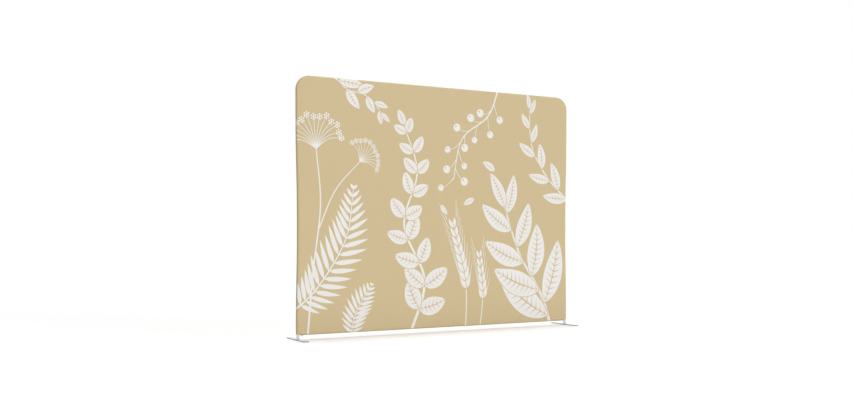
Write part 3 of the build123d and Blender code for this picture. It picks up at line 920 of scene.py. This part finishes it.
def thread():
    finish = Finish("sewing_thread", Roughness=0.7, Sheen_Weight=0.1)
    twist = finish.node("ShaderNodeTexWave", {"bands_direction": "DIAGONAL"}, {
        "Vector": finish.place(), "Scale": 900.0, "Distortion": 0.5})
    # painted shade and highlight: darker in the grooves between the twisted plies, lighter on them
    finish.feed("Base Color", finish.mix(twist, colour(196, 177, 138), colour(222, 206, 170)))
    finish.bump(twist, 0.00005, 0.5)
    return finish.material


def makeZip():
    tape, tapeWidth = zipTape()
    weave, teethFinish, sewn = tapeWeave(), nylon(), thread()
    row, stitches = toothRow(), hemStitches()
    for front, finish, replaced, slot in (
        (tape, weave, "zip_tape", "zip_tape"),
        (row, teethFinish, "zip_teeth", "zip_teeth"),
        (stitches, sewn, None, "printed_cloth"),
    ):
        front.data.materials.append(finish)
        back = turnedBack(front, front.name.replace("front", "back"))
        for side, piece in (("front", front), ("back", back)):
            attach(piece, "wall")
            if replaced:
                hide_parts(f"{replaced}_{side}")
        if front is tape:
            thickened(back)
    print("zip and stitches made:", len(row.data.polygons), "and", len(stitches.data.polygons), "faces")


makeZip()


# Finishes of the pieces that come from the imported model

def brushedMetal(name, drawnAlong, tint, roughness):
    finish = Finish(name, Metallic=1.0)
    streaks = finish.noise(finish.place([8 if axis == drawnAlong else 1400 for axis in "XYZ"]), 1, 3)
    patches = finish.noise(finish.place(), 14, 3)
    darker = colour(*[level - 22 for level in tint])
    finish.feed("Base Color", finish.mix(streaks * 0.6 + patches * 0.4, darker, colour(*tint)))
    finish.feed("Roughness", roughness + streaks * 0.12 + patches * 0.08)
    finish.bump(streaks, 0.00002, 0.4)
    return finish.material


def galvanised():
    finish = Finish("zinc_plated_sleeve", Metallic=1.0)
    spangle = {"Vector": finish.place(), "Scale": 260.0}
    tone, _, _ = finish.split(finish.node("ShaderNodeTexVoronoi", {"feature": "F1"}, spangle, out="Color"))
    finish.feed("Base Color", finish.mix(tone, colour(168, 172, 176), colour(206, 208, 210)))
    finish.feed("Roughness", 0.28 + tone * 0.2)
    return finish.material


def moulded(name, tint, roughness=0.5, grain=700, depth=0.00005):  # plastic or rubber
    finish = Finish(name)
    pits = finish.noise(finish.place(), grain, 3)
    wear = finish.noise(finish.place(), 45, 3)
    darker = colour(*[level * 0.86 for level in tint])
    finish.feed("Base Color", finish.mix(pits * 0.5 + wear * 0.5, darker, colour(*tint)))
    finish.feed("Roughness", roughness + pits * 0.12 + wear * 0.08)
    finish.bump(pits, depth, 0.5)
    return finish.material


def darkBronze():
    finish = Finish("dark_bronze", Metallic=1.0)
    wear = finish.noise(finish.place(), 420, 4)
    finish.feed("Base Color", finish.mix(wear, colour(40, 30, 21), colour(86, 66, 46)))
    finish.feed("Roughness", 0.30 + wear * 0.2)
    finish.bump(wear, 0.00003, 0.4)
    return finish.material


def footSteel(plate):  # polished on top; its sides rougher, and painted darker as shade
    top = max(corner.co.z for corner in plate.data.vertices)
    finish = Finish("polished_foot_steel", Metallic=1.0)
    where = finish.node("ShaderNodeTexCoord", out="Object")
    _, _, z = finish.split(where)
    edge = z < top - 0.0003  # below the top's small bevel
    grain = finish.noise(finish.place((1600, 20, 1600)), 1, 3)
    smudges = finish.noise(where, 22, 4, 0.6)
    polished = finish.mix(grain * 0.5 + smudges * 0.5, colour(196, 198, 202), colour(226, 228, 231))
    # painted shade: the plate's sides darker than its top, as if less light fell on them
    paintedSideShade = finish.mix(grain, colour(86, 87, 90), colour(112, 113, 117))
    finish.feed("Base Color", finish.mix(edge, polished, paintedSideShade))
    finish.feed("Roughness", 0.16 + smudges * 0.12 + edge * 0.25)
    finish.bump(grain, 0.00001, 0.3)
    return finish.material


def finishFrame():
    silver, levelSilver = (226, 228, 231), (214, 216, 219)
    uprightTube = brushedMetal("drawn_tube_upright", "Z", silver, 0.22)
    levelTube = brushedMetal("drawn_tube_level", "X", silver, 0.22)
    spring = brushedMetal("spring_steel", "X", (150, 152, 158), 0.25)
    pin = brushedMetal("turned_steel", "Z", levelSilver, 0.3)
    zinc, bronze, steel = galvanised(), darkBronze(), footSteel(nodes["foot_plate_left"])
    tee = moulded("moulded_nylon_tee", (52, 53, 56), 0.42)
    washer = moulded("white_nylon", (222, 220, 212), 0.34)
    rubber = moulded("foot_rubber", (38, 38, 40), 0.75, 1200, 0.0001)
    finishes = {  # by how the names of the pieces start
        "upright": uprightTube, "centre_post": uprightTube, "elbow": levelTube, "top_tube": levelTube,
        "rail": levelTube, "sleeve": zinc, "rivets": pin, "button_springs": spring, "button": pin,
        "centre_tee": tee, "zip_slider": bronze, "zip_pull": bronze, "zip_stops": bronze,
        "foot_plate": steel, "foot_pin": pin, "foot_screw": pin, "foot_washer": washer, "foot_pads": rubber,
    }
    for name, node in nodes.items():
        finish = next((finish for start, finish in finishes.items() if name.startswith(start)), None)
        if finish is None:
            continue
        if not node.material_slots:
            node.data.materials.append(finish)
        for slot in node.material_slots:
            slot.material = finish


finishFrame()
print("finishes given to the packed pieces")
